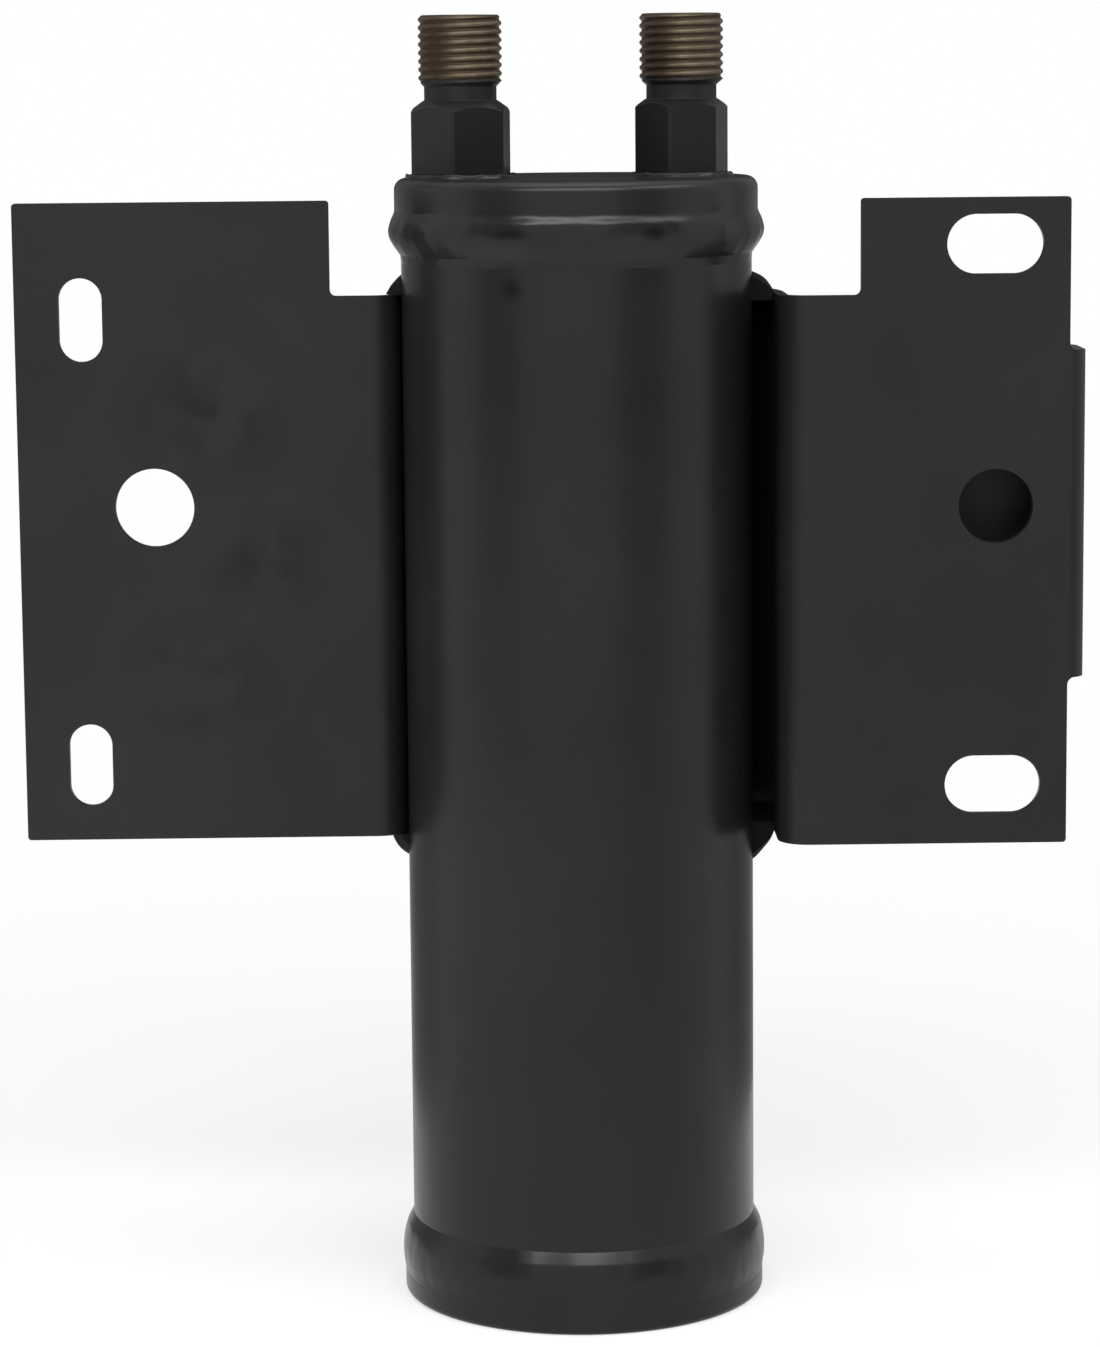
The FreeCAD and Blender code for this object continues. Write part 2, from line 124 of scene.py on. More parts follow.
def add_piece(name, bm, finishes, slot, *nodes):
    """Turns a finished bmesh into an object that stands for some nodes of the frame."""
    bmesh.ops.remove_doubles(bm, verts=bm.verts, dist=seam)
    bmesh.ops.recalc_face_normals(bm, faces=bm.faces)
    if bm.calc_volume(signed=True) < 0:
        bmesh.ops.reverse_faces(bm, faces=bm.faces)
    for face in bm.faces:
        face.smooth = True
    open_edges = sum(1 for edge in bm.edges if len(edge.link_faces) != 2)
    volume = bm.calc_volume(signed=True)
    mesh = bpy.data.meshes.new(name)
    bm.to_mesh(mesh)
    bm.free()
    mesh.set_sharp_from_angle(angle=sharp_angle)
    for material in finishes:
        mesh.materials.append(material)
    piece = bpy.data.objects.new(name, mesh)
    scene.collection.objects.link(piece)
    weighted = piece.modifiers.new("even shading", "WEIGHTED_NORMAL")
    weighted.keep_sharp = True
    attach(piece, "root")
    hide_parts(*nodes)
    print(f"{name}: {len(mesh.polygons)} faces, {open_edges} open edges, {volume * 1e9:.0f} mm3")


# %% [markdown]
# Most of this object was turned or rolled, so most pieces start as half a section: a line of
# points at a distance from the Z axis and at a height. Spinning that line gives the skin. The
# seam is merged at once. Arcs of a section are given by their centre, or by three points that
# they run through.

# %% Spin a half section
full_turn = 2 * math.pi


def chain(bm, points, closed=False):
    """A line of vertices and edges through points given in millimetres."""
    verts = [bm.verts.new(Vector(point) * MM) for point in points]
    pairs = list(zip(verts, verts[1:]))
    if closed:
        pairs.append((verts[-1], verts[0]))
    return verts, [bm.edges.new(pair) for pair in pairs]


def spin(bm, section, steps, closed=False, turn=full_turn, climb=0.0):
    """Spins (radius, height) points, climbing at each step, and gives the new vertices."""
    before = set(bm.verts)
    verts, edges = chain(bm, [(r, 0, z) for r, z in section], closed)
    bmesh.ops.spin(bm, geom=verts + edges, cent=(0, 0, 0), axis=(0, 0, 1), dvec=(0, 0, climb),
                   angle=turn, steps=steps, use_merge=turn == full_turn, use_duplicate=False)
    added = [v for v in bm.verts if v not in before]
    bmesh.ops.remove_doubles(bm, verts=added, dist=seam)
    return [v for v in bm.verts if v not in before]


def lathe(section, steps, closed=False, turn=full_turn):
    """A new mesh that holds one spun section."""
    bm = bmesh.new()
    spin(bm, section, steps, closed, turn)
    return bm


def arc_points(centre, radius, start, end, count):
    """Points of an arc in a half section, angles in degrees from the outward direction."""
    points = []
    for step in range(count + 1):
        angle = math.radians(start + (end - start) * step / count)
        points.append((centre[0] + radius * math.cos(angle), centre[1] + radius * math.sin(angle)))
    return points


def bulge_points(start, through, end, count):
    """Points of the one arc that runs through three points of a half section."""
    ax, ay = start
    bx, by = through
    cx, cy = end
    cross = 2 * (ax * (by - cy) + bx * (cy - ay) + cx * (ay - by))
    a2, b2, c2 = ax * ax + ay * ay, bx * bx + by * by, cx * cx + cy * cy
    x = (a2 * (by - cy) + b2 * (cy - ay) + c2 * (ay - by)) / cross
    y = (a2 * (cx - bx) + b2 * (ax - cx) + c2 * (bx - ax)) / cross
    first = math.degrees(math.atan2(ay - y, ax - x))
    last = math.degrees(math.atan2(cy - y, cx - x))
    return arc_points((x, y), math.hypot(ax - x, ay - y), first, last, count)


print("points of a quarter circle in eight steps:", len(arc_points((0, 0), 1, 0, 90, 8)))

# %% [markdown]
# Paint is a thin dark film over steel. It has almost no colour of its own, so what the eye
# reads is the sheen: how rough it is, how that changes from place to place, and the fine
# orange peel of sprayed paint. One recipe makes the paint, and each use changes only a little.

# %% Helpers for node materials
mix_first = 6
mix_second = 7
mix_result = 2
patch_core = 0.2
# Colour, strength and sheen of the painted shade patches.
shade_patch_colour = (0.006, 0.0055, 0.0045)
shade_patch_strength = 0.8
shade_patch_sheen = 0.2


def add_node(tree, kind, inputs=None, **settings):
    """A new node: each input that is named gets a link if it is given a socket, or else a value."""
    node = tree.nodes.new(kind)
    for name, value in settings.items():
        setattr(node, name, value)
    for name, value in (inputs or {}).items():
        if isinstance(value, bpy.types.NodeSocket):
            tree.links.new(value, node.inputs[name])
        else:
            node.inputs[name].default_value = value
    return node


class Finish:
    """A new node material with short ways to add and join nodes."""

    def __init__(self, name, colour, roughness, specular=0.5, metallic=0.0):
        self.material = bpy.data.materials.new(name)
        self.material.use_nodes = True
        self.tree = self.material.node_tree
        self.shader = self.tree.nodes["Principled BSDF"]
        self.shader.inputs["Base Color"].default_value = (*colour, 1)
        self.shader.inputs["Roughness"].default_value = roughness
        self.shader.inputs["Specular IOR Level"].default_value = specular
        self.shader.inputs["Metallic"].default_value = metallic
        self.place = add_node(self.tree, "ShaderNodeTexCoord").outputs["Object"]
        self.height = None

    def join(self, value, name):
        self.tree.links.new(value, self.shader.inputs[name])

    def mapped(self, location=(0, 0, 0), scale=(1, 1, 1)):
        inputs = {"Vector": self.place, "Location": location, "Scale": scale}
        return add_node(self.tree, "ShaderNodeMapping", inputs).outputs["Vector"]

    def noise(self, scale, detail, stretch=(1, 1, 1)):
        inputs = {"Vector": self.mapped(scale=stretch), "Scale": scale, "Detail": detail}
        return add_node(self.tree, "ShaderNodeTexNoise", inputs).outputs["Fac"]

    def ranged(self, value, low, high, to_low=0.0, to_high=1.0):
        inputs = {"Value": value, "From Min": low, "From Max": high,
                  "To Min": to_low, "To Max": to_high}
        return add_node(self.tree, "ShaderNodeMapRange", inputs).outputs["Result"]

    def maths(self, operation, first, second):
        inputs = {0: first, 1: second}
        return add_node(self.tree, "ShaderNodeMath", inputs, operation=operation).outputs["Value"]

    def length(self, vector):
        node = add_node(self.tree, "ShaderNodeVectorMath", {0: vector}, operation="LENGTH")
        return node.outputs["Value"]

    def mixed(self, amount, first, second):
        """A mix of two colours: their sockets share a name with others, so a number picks them."""
        inputs = {"Factor": amount}
        for socket, colour in ((mix_first, first), (mix_second, second)):
            inputs[socket] = (*colour, 1) if isinstance(colour, tuple) else colour
        node = add_node(self.tree, "ShaderNodeMix", inputs, data_type="RGBA")
        return node.outputs[mix_result]

    def patch(self, centre, size):
        """One inside an ellipsoid about a centre, falling softly to nought at its skin."""
        scale = tuple(1 / (MM * side) for side in size)
        location = tuple(-c * MM * s for c, s in zip(centre, scale))
        return self.ranged(self.length(self.mapped(location, scale)), 1.0, patch_core)

    def colour(self, value):
        self.join(value, "Base Color")

    def painted_shade(self, centre, size):
        """Painted shade: a dark, dull patch in the coat, round a centre in millimetres."""
        amount = self.maths("MULTIPLY", self.patch(centre, size), shade_patch_strength)
        coat = self.shader.inputs["Base Color"].links[0].from_socket
        self.colour(self.mixed(amount, coat, shade_patch_colour))
        sheen = self.shader.inputs["Specular IOR Level"]
        shine = sheen.links[0].from_socket if sheen.links else sheen.default_value
        dulled = self.ranged(amount, 0.0, 1.0, 1.0, shade_patch_sheen)
        self.join(self.maths("MULTIPLY", dulled, shine), "Specular IOR Level")

    def rough(self, value):
        self.join(value, "Roughness")

    def bump(self, value, strength, distance):
        inputs = {"Height": value, "Strength": strength, "Distance": distance}
        if self.height:
            inputs["Normal"] = self.height
        self.height = add_node(self.tree, "ShaderNodeBump", inputs).outputs["Normal"]
        self.join(self.height, "Normal")


print("sockets of a colour mix:", mix_first, mix_second, mix_result)

# %% [markdown]
# Sprayed paint isn't one tone: slow clouds move it between two near blacks, and other clouds
# move its roughness. The weld beads carry a thicker, glossier coat. Two dark, dull patches of
# painted shade sit in creases of the top bead, and one on the tube just under it.

# %% Satin black paint
paint_dark = (0.0088, 0.0091, 0.0091)
paint_light = (0.0125, 0.0129, 0.0127)
paint_specular = 0.22
tone_clouds = 26
sheen_clouds = 45
peel_grain = 900
peel_height = 0.0001


def black_paint(name, peel=0.06, dull=0.34, glossy=0.25):
    """Sprayed satin black: a soft sheen that wanders, and a fine orange peel."""
    paint = Finish(name, paint_dark, dull, paint_specular)
    clouds = paint.noise(tone_clouds, 4)
    paint.colour(paint.mixed(paint.ranged(clouds, 0.35, 0.65), paint_dark, paint_light))
    paint.rough(paint.ranged(paint.noise(sheen_clouds, 5), 0.3, 0.7, glossy, dull))
    paint.bump(paint.noise(peel_grain, 2), peel, peel_height)
    return paint


can_paint = black_paint("canister_paint")
plate_paint = black_paint("plate_paint", peel=0.08)
weld_paint = black_paint("weld_paint", peel=0.14, dull=0.32, glossy=0.22)
# Painted shade: two dark, dull patches in creases of the top bead, and one on the tube under it.
weld_paint.painted_shade((-12.5, -30.5, 187.2), (5.5, 4, 1.1))
weld_paint.painted_shade((12.6, -30, 187.2), (2.6, 4, 1.6))
can_paint.painted_shade((-11.6, -29, 178.2), (2.6, 4, 2.4))
print("paints:", can_paint.material.name, plate_paint.material.name, weld_paint.material.name)

# %% [markdown]
# Smudges: on the left wing the film is rubbed in three places, where it looks a little browner
# and darker. Soft patches round chosen centres, broken up by noise, are enough.

# %% Paint of the folded sheet
sheet_paint = black_paint("bracket_paint", peel=0.05, dull=0.44, glossy=0.36)
rubbed_brown = (0.0066, 0.0058, 0.0048)
rub_places = [((-62, -5.6, 157), (19, 8, 18)), ((-54, -5.6, 131), (14, 8, 11)),
              ((-66, -5.6, 111), (17, 8, 13))]
rubs = 0.0
for centre, size in rub_places:
    rubs = sheet_paint.maths("MAXIMUM", sheet_paint.patch(centre, size), rubs)
cloudy = sheet_paint.ranged(sheet_paint.noise(110, 4), 0.38, 0.58)
rubbed = sheet_paint.maths("MULTIPLY", rubs, cloudy)
film = sheet_paint.shader.inputs["Base Color"].links[0].from_socket
sheet_paint.colour(sheet_paint.mixed(rubbed, film, rubbed_brown))
print("rubbed places on the left wing:", len(rub_places))

# %% [markdown]
# The canister is a drawn tube closed by two turned plates. All three are solids of revolution,
# so a half section is spun round the axis. The top plate also has two bores for the ports: its
# flat faces are filled between the outer ring and the bores.

# %% Spin the tube
round_steps = 192


def tube_section():
    inner = body_r - body_wall
    return [(inner, shell_foot), (body_r, shell_foot), (body_r, rim_low), (inner, rim_low)]


add_piece("canister_tube", lathe(tube_section(), round_steps, closed=True),
          [can_paint.material], "black_paint", "canister_shell")

# %% Spin the bottom plate
spigot_gap = 0.1
spigot_r = body_r - body_wall - spigot_gap
bottom_edge_r = 1.2
top_edge_r = 2.0


def bottom_section():
    corner = (bottom_rim_r - bottom_edge_r, bottom_edge_r)
    rounded = arc_points(corner, bottom_edge_r, -90, 0, 8)
    return [(0, 0)] + rounded + [(bottom_rim_r, shell_foot), (spigot_r, shell_foot),
                                 (spigot_r, floor_high), (0, floor_high)]


add_piece("bottom_end_plate", lathe(bottom_section(), round_steps),
          [plate_paint.material], "black_paint", "bottom_plate")

# %% Spin the top plate and open its bores
port_x = {"inlet": (inlet_low.x + inlet_high.x) / 2, "outlet": (outlet_low.x + outlet_high.x) / 2}
stem_r = 6.35
bore_clearance = 0.05
bore_steps = 64


def ring_at(bm, height):
    """The open edges that lie at one height."""
    level = height * MM
    return [edge for edge in bm.edges
            if edge.is_boundary and all(abs(v.co.z - level) < seam for v in edge.verts)]


def top_plate_mesh():
    corner = (top_rim_r - top_edge_r, can_top - top_edge_r)
    rounded = arc_points(corner, top_edge_r, 0, 90, 10)
    section = [(spigot_r, plate_low), (spigot_r, rim_low), (top_rim_r, rim_low)] + rounded
    bm = lathe(section, round_steps)
    bore_r = stem_r + bore_clearance
    for x in port_x.values():
        bore = spin(bm, [(bore_r, plate_low), (bore_r, can_top)], bore_steps)
        bmesh.ops.translate(bm, verts=bore, vec=(x * MM, 0, 0))
    for height in (plate_low, can_top):
        bmesh.ops.triangle_fill(bm, edges=ring_at(bm, height), use_beauty=True, use_dissolve=False)
    return bm


add_piece("top_end_plate", top_plate_mesh(), [plate_paint.material], "black_paint", "top_plate")

# %% [markdown]
# A weld bead is a line of frozen puddles, softened here by thick paint. Its section is one arc
# through three points, close to the solid's. Slow noise makes it swell and shrink along its
# length, and a fine ripple runs across it. The top bead laps a little up the rim and is fuller
# at its two sides, so that it reads as a fat roll in the photograph's outline.

# %% Weld beads round the ends
bead_steps = 360
rim_lap = 1.4
lap_ease = 2.8
side_swell = 0.6
foot_ease = 1.2
thinnest_bead = 0.05
puddle_length = 1.9
puddle_height = 0.004
top_crown = (top_rim_r + 0.9, rim_low - 3.4)
bottom_crown = (bottom_rim_r + 0.5, shell_foot + 3.2)


def wander(point, scale, seed):
    """Slow noise between nought and one on a point in millimetres."""
    return 0.5 + 0.5 * noise.noise(point * scale + Vector((seed, 2 * seed, 3 * seed)))


def roll_bead(bm, low, high, rim_r, swell, seed, ease, fuller=0.0):
    """Moves a spun bead's skin in and out by noise, and leaves its ends where they were."""
    for vert in bm.verts:
        point = vert.co / MM
        radius = math.hypot(point.x, point.y)
        if radius < body_r + 0.01 or abs(radius - rim_r) < 0.001:
            continue
        above = max(0.0, (point.z - low) / foot_ease)
        below = max(0.0, (high - point.z) / ease)
        free = min(1.0, above, below)
        way = Vector((point.x / radius, point.y / radius, 0))
        along = way * body_r + Vector((0, 0, 0.5 * point.z))
        drop = swell * wander(along, 0.16, seed) + 0.5 * swell * wander(along, 0.45, seed + 5)
        puddle = math.sin(math.atan2(point.y, point.x) * body_r * 2 * math.pi / puddle_length
                          + 2.5 * wander(along, 0.3, seed + 9))
        drop += puddle_height * (0.5 + 0.5 * puddle)
        belly = math.sin(math.pi * min(1.0, max(0.0, (point.z - low) / (high - low))))
        drop -= fuller * (way.x * belly) ** 4
        shift = min(drop * free, radius - body_r - thinnest_bead)
        lift = 0.55 * swell * (wander(way * body_r, 0.22, seed + 3) - 0.5) * free
        vert.co = (point - way * shift + Vector((0, 0, lift))) * MM


def top_bead_mesh():
    """A bead from the tube up over the rim's lower edge, where its skin eases out to nothing."""
    low = top_bead_low.z
    shoulder = (body_r + 0.5, low + 1.3)
    lap = (top_rim_r, rim_low + rim_lap)
    skin = []
    for radius, z in bulge_points(lap, top_crown, shoulder, 36):
        down = min(1.0, (lap[1] - z) / lap_ease)
        skin.append((top_rim_r + (radius - top_rim_r) * down * down * (3 - 2 * down), z))
    section = [(body_r, low)] + skin[::-1]
    section += [(top_rim_r, rim_low), (body_r, rim_low)]
    bm = lathe(section, bead_steps, closed=True)
    roll_bead(bm, low, lap[1], top_rim_r, swell=0.45, seed=1.7, ease=3.0, fuller=side_swell)
    return bm


def bottom_bead_mesh():
    high = bottom_bead_high.z
    shoulder = (body_r + 1.15, high - 1.8)
    skin = bulge_points((bottom_rim_r - 0.03, shell_foot), bottom_crown, shoulder, 20)
    section = [(body_r, shell_foot)] + skin + [(body_r, high)]
    bm = lathe(section, bead_steps, closed=True)
    roll_bead(bm, shell_foot, high, bottom_rim_r, swell=0.25, seed=8.3, ease=1.8)
    return bm


add_piece("top_bead", top_bead_mesh(), [weld_paint.material], "painted_weld", "top_weld_bead")
add_piece("bottom_bead", bottom_bead_mesh(), [weld_paint.material], "painted_weld", "bottom_weld_bead")

# %% [markdown]
# Each port is turned from hexagon bar: a stem through the plate, the hexagon with a chamfered
# top, a neck, and a thread of 18 turns to the inch. The thread is a zigzag chain spun with a
# lift of one pitch a turn. Its roots hold some paint, so it looks shallower than a new thread.
# A turned chamfer is a cone that no point may stand outside of, so points beyond it are drawn
# in. Flat cuts end the thread, and bridges close the piece.

# %% Sizes of the ports, in millimetres
thread_pitch = 25.4 / 18
thread_depth = 0.40
thread_r = 14.29 / 2
thread_top_chamfer = 0.6
thread_foot_chamfer = 1.0
hex_height = 13.0
neck_length = 2.4
neck_relief = 0.2
hex_land = 0.3
hex_slope = math.tan(math.radians(36))
port_bore_r = 3.95
lip = 0.35
painted_turn = 1.35
hex_top = can_top + hex_height
thread_low = hex_top + neck_length
port_top = inlet_high.z
stem_low = inlet_low.z
ports = {
    "inlet": {"flats": 15.88, "turn": -7.8, "neck_r": 6.2, "socket_r": 3.95, "socket_top": stem_low},
    "outlet": {"flats": 14.29, "turn": -17.7, "neck_r": 6.0, "socket_r": 4.795,
               "socket_top": stem_low + 6.0},
}
for port in ports.values():
    port["corner_r"] = port["flats"] / 2 / math.cos(math.pi / 6)
print("thread turns:", round((port_top - thread_low) / thread_pitch, 1))

# %% [markdown]
# The thread is bare steel gone brown. A pattern that follows the distance from the port's own
# axis finds the roots and the crests: roots get painted shade, flanks are bronze, and worn crests
# get painted highlights in patches. Each thread is darker and browner on its left front side.

# %% Browned thread
root_band = 0.1
flank_band = 0.12
crest_start = 0.14
crest_end = 0.02
# The crest colour is a painted highlight and the root colour is painted shade on the brown steel.
crest_glint = (0.145, 0.112, 0.082)
flank_bronze = (0.108, 0.078, 0.050)
root_shade_brown = (0.048, 0.032, 0.020)
left_front_brown = (0.038, 0.025, 0.015)


def thread_finish(name, x):
    """Bare steel gone brown, with painted shade in the roots and painted highlights on the worn
    crests.
    """
    steel = Finish(name, flank_bronze, 0.5, 0.25, 0.6)
    radius = steel.length(steel.mapped(location=(-x * MM, 0, 0), scale=(1, 1, 0)))
    root_r = thread_r - thread_depth
    depth = steel.ranged(radius, (root_r + root_band) * MM, (thread_r - flank_band) * MM)
    crest = steel.ranged(radius, (thread_r - crest_start) * MM, (thread_r - crest_end) * MM)
    patches = steel.ranged(steel.noise(420, 5), 0.40, 0.62)
    # Painted highlight along the crests, broken into worn patches.
    worn_highlight = steel.maths("MULTIPLY", crest, patches)
    brown = steel.mixed(depth, root_shade_brown, flank_bronze)
    bright = steel.mixed(worn_highlight, brown, crest_glint)
    # A darker, browner patch on the left front side of each thread.
    left_front_darkening = steel.patch((x - 4.5, -6, 217), (5, 8, 14))
    steel.colour(steel.mixed(left_front_darkening, bright, left_front_brown))
    steel.rough(steel.ranged(steel.noise(700, 4), 0.3, 0.7, 0.36, 0.6))
    steel.bump(steel.noise(2600, 3), 0.12, 0.00006)
    return steel.material


thread_steel = {name: thread_finish(name + "_thread_finish", x) for name, x in port_x.items()}
hex_paint = black_paint("port_paint", peel=0.05, dull=0.36, glossy=0.26)
neck_paint = Finish("neck_paint", (0.0125, 0.0125, 0.0118), 0.46, 0.16)
neck_paint.bump(neck_paint.noise(700, 3), 0.25, 0.0002)
print("finishes of the ports:", hex_paint.material.name, neck_paint.material.name, *thread_steel)

# %% [markdown]
# A screw thread is a section carried round the axis while it climbs one pitch a turn, and that
# is what a spin with a lift does. It starts below the neck and ends above the mouth, so that
# two flat cuts can square its ends. Then the mouth and the neck are drawn on from the open
# rings that the cuts leave.

# %% Screw the thread
thread_steps = 72
run_in = 1.2
zigzag = [(0.0, 1.0), (0.08, 0.97), (0.14, 0.86), (0.32, 0.15), (0.38, 0.02), (0.5, 0.0),
          (0.62, 0.02), (0.68, 0.15), (0.86, 0.86), (0.92, 0.97), (1.0, 1.0)]


def thread_limit(z, neck_r):
    """The largest radius that the chamfers at the thread's two ends leave at a height."""
    past_top = max(0.0, z - (port_top - thread_top_chamfer))
    past_foot = max(0.0, thread_low + thread_foot_chamfer - z)
    foot_slope = (thread_r - neck_r) / thread_foot_chamfer
    return max(neck_r - neck_relief, min(thread_r - past_top, thread_r - past_foot * foot_slope))


def set_radius(vert, radius):
    flat = Vector((vert.co.x, vert.co.y, 0))
    vert.co = flat.normalized() * radius * MM + Vector((0, 0, vert.co.z))


def screwed_thread(neck_r):
    """The thread's skin, cut flat at both ends, with every point held inside the chamfers."""
    start = thread_low - run_in * thread_pitch
    turns = math.ceil((port_top - start) / thread_pitch) + 1
    bm = bmesh.new()
    section = [(thread_r - deep * thread_depth, start + part * thread_pitch)
               for part, deep in zigzag]
    spin(bm, section, thread_steps * turns, turn=full_turn * turns,
         climb=thread_pitch * MM / thread_steps)
    for vert in bm.verts:
        radius = math.hypot(vert.co.x, vert.co.y) / MM
        set_radius(vert, min(radius, thread_limit(vert.co.z / MM, neck_r)))
    for height, way in ((thread_low, -1), (port_top, 1)):
        bmesh.ops.bisect_plane(bm, geom=bm.verts[:] + bm.edges[:] + bm.faces[:], dist=seam,
                               plane_co=(0, 0, height * MM), plane_no=(0, 0, way),
                               clear_outer=True)
        for edge in bm.edges:
            for vert in edge.verts:
                if edge.is_boundary and abs(vert.co.z - height * MM) < 2 * seam:
                    vert.co.z = height * MM
    return bm


def extend(bm, from_height, to_radius, to_height):
    """Draws the open ring at one height out to a new radius and height."""
    new = bmesh.ops.extrude_edge_only(bm, edges=ring_at(bm, from_height))["geom"]
    for vert in (part for part in new if isinstance(part, bmesh.types.BMVert)):
        vert.co.z = to_height * MM
        set_radius(vert, to_radius)


print("points of the thread's section:", len(zigzag))

# %% [markdown]
# The hexagon is first spun as a round bar over its corners. Points on its outside are then
# drawn in to the six flats, and those of its top edge follow the chamfer's cone, which gives
# the curved lines that a turned hexagon has. Its six upright edges are rounded a little.

# %% Turn the hexagon
hex_steps = 96
neck_fillet = 0.2
corner_round = 0.22
chamfer_drop = 1
tall_edge = 5


def hex_radius(angle, corner_r):
    """Distance from the axis to a hexagon's side, with a corner at angle nought."""
    from_corner = angle % (math.pi / 3)
    return corner_r * math.cos(math.pi / 6) / math.cos(from_corner - math.pi / 6)


def hexagon_mesh(bm, port):
    """The hexagon, the stem under it and the start of its bore, with a corner towards +X."""
    corner_r = port["corner_r"]
    land_r = port["neck_r"] + hex_land
    section = [(port["neck_r"] + neck_fillet, hex_top), (land_r, hex_top),
               (corner_r, hex_top - chamfer_drop), (corner_r, can_top), (stem_r, can_top),
               (stem_r, stem_low), (port["socket_r"], stem_low)]
    if port["socket_top"] > stem_low:
        section += [(port["socket_r"], port["socket_top"]), (port_bore_r, port["socket_top"])]
    for vert in spin(bm, section, hex_steps):
        if abs(math.hypot(vert.co.x, vert.co.y) - corner_r * MM) < seam:
            radius = hex_radius(math.atan2(vert.co.y, vert.co.x), corner_r)
            set_radius(vert, radius)
            if vert.co.z > (can_top + chamfer_drop) * MM:
                vert.co.z = (hex_top - (radius - land_r) * hex_slope) * MM
    corners = []
    for edge in bm.edges:
        upright = abs(edge.verts[0].co.z - edge.verts[1].co.z) > tall_edge * MM
        if upright and min(math.hypot(v.co.x, v.co.y) for v in edge.verts) > (corner_r - 0.001) * MM:
            corners.append(edge)
    bmesh.ops.bevel(bm, geom=corners, offset=corner_round * MM, segments=3, profile=0.5,
                    affect="EDGES", material=-1, clamp_overlap=True)


# %% Join the hexagon to the thread
thread_index = 1
neck_index = 2


def port_mesh(name):
    """One port in its place: thread, mouth, neck and hexagon, with a finish for each."""
    port = ports[name]
    bm = screwed_thread(port["neck_r"])
    extend(bm, port_top, port_bore_r + lip, port_top)
    extend(bm, port_top, port_bore_r, port_top - lip)
    for vert in {v for edge in ring_at(bm, thread_low) for v in edge.verts}:
        set_radius(vert, port["neck_r"])
    extend(bm, thread_low, port["neck_r"], hex_top + neck_fillet)
    hexagon_mesh(bm, port)
    for high, low in ((hex_top + neck_fillet, hex_top), (port_top - lip, port["socket_top"])):
        bmesh.ops.bridge_loops(bm, edges=ring_at(bm, high) + ring_at(bm, low))
    for face in bm.faces:
        middle = face.calc_center_median() / MM
        if middle.z > thread_low + painted_turn:
            face.material_index = thread_index
        elif middle.z > hex_top:
            face.material_index = neck_index
    bmesh.ops.rotate(bm, verts=bm.verts, cent=(0, 0, 0),
                     matrix=Matrix.Rotation(math.radians(port["turn"] - 90), 3, "Z"))
    bmesh.ops.translate(bm, verts=bm.verts, vec=(port_x[name] * MM, 0, 0))
    return bm


for name in ports:
    finishes = [hex_paint.material, thread_steel[name], neck_paint.material]
    add_piece(name + "_port", port_mesh(name), finishes, "port_steel", name + "_fitting")

# %% [markdown]
# At the foot of each hexagon a small weld runs all round. It leaves a dark groove against the
# flats and a low ridge outside them. The ring starts as a spun section, and its inner points
# are then drawn on to the hexagon. It stays on the flat part of the plate.

# %% Welds at the feet of the ports
foot_weld = 0.75
groove_rise = 0.35
weld_overlap = 1
ridge_slump = 0.3
ridge_slack = 0.15
ridge = [(0.1, 0.6), (0.24, 0.78), (0.42, 0.74), (0.6, 0.5)]
flat_limit = top_rim_r - top_edge_r


def reach_on_plate(x, angle):
    """How far a ray from a port's axis runs before it leaves the plate's flat top."""
    along = x * math.cos(angle)
    return math.sqrt(flat_limit ** 2 - x * x + along * along) - along


def foot_weld_mesh(name):
    """A lumpy ring whose inner side follows the hexagon and whose outer side stays on the plate."""
    port = ports[name]
    corner_r = port["corner_r"]
    x = port_x[name]
    turn = math.radians(port["turn"] - 90)
    inner_r = corner_r - weld_overlap
    section = [(inner_r, can_top), (inner_r, can_top + groove_rise)]
    section += [(corner_r + out, can_top + up) for out, up in ridge]
    section += [(corner_r + foot_weld, can_top)]
    bm = lathe(section, hex_steps * 2, closed=True)
    for vert in bm.verts:
        angle = math.atan2(vert.co.y, vert.co.x)
        radius = math.hypot(vert.co.x, vert.co.y) / MM
        if radius < corner_r - weld_overlap / 2:
            radius = hex_radius(angle, corner_r)
        else:
            lump = wander(Vector((math.cos(angle), math.sin(angle), 0)) * corner_r, 0.55, x)
            if vert.co.z > (can_top + 0.1) * MM:
                vert.co.z -= ridge_slump * lump * MM
            radius = min(radius - ridge_slack * lump, reach_on_plate(x, angle + turn))
        set_radius(vert, radius)
    bmesh.ops.rotate(bm, verts=bm.verts, cent=(0, 0, 0), matrix=Matrix.Rotation(turn, 3, "Z"))
    bmesh.ops.translate(bm, verts=bm.verts, vec=(x * MM, 0, 0))
    return bm


for name in ports:
    add_piece(name + "_foot_weld", foot_weld_mesh(name), [weld_paint.material], "painted_weld",
              name + "_weld_ring")

# %% [markdown]
# The bracket is one sheet, so it is made the way a press shop makes it. First comes the flat
# blank, with its notch, tab, slots and holes. Then the blank is folded: a point's distance
# along the strip says where on the folded path it lands, and its depth in the sheet says how
# far off that path. The path runs wing, bend, saddle, bend, wing and round the tab.

# %% The folded path, in millimetres, seen from above
sheet = 2.0
saddle_gap = 0.1
saddle_r = body_r + saddle_gap
bend_r = 5.3
left_leg = 0.3
right_leg = 13.3
right_gap = 3.3
tab_bend_r = 3.0
left_out = -bracket_low.x
right_out = bracket_high.x - tab_bend_r
left_y = -(left_leg + bend_r)
right_y = -(right_leg + bend_r)
leg_r = saddle_r + right_gap
right_bend_x = leg_r + bend_r
wall_y = left_y + sheet
tab_side = wall_y - right_y - 2 * tab_bend_r
tab_return = 27.0
quarter = math.pi / 2
strip = [("line", left_out - saddle_r - bend_r), ("bend", bend_r, 1), ("line", left_leg),
         ("bend", saddle_r, -1), ("bend", leg_r, -1), ("line", right_leg - right_gap),
         ("bend", bend_r, 1), ("line", right_out - right_bend_x), ("bend", tab_bend_r, 1),
         ("line", tab_side), ("bend", tab_bend_r, 1), ("line", tab_return)]


def piece_length(part):
    """The length of a straight part, or of a quarter bend, measured on the front of the sheet."""
    return part[1] if part[0] == "line" else part[1] * quarter


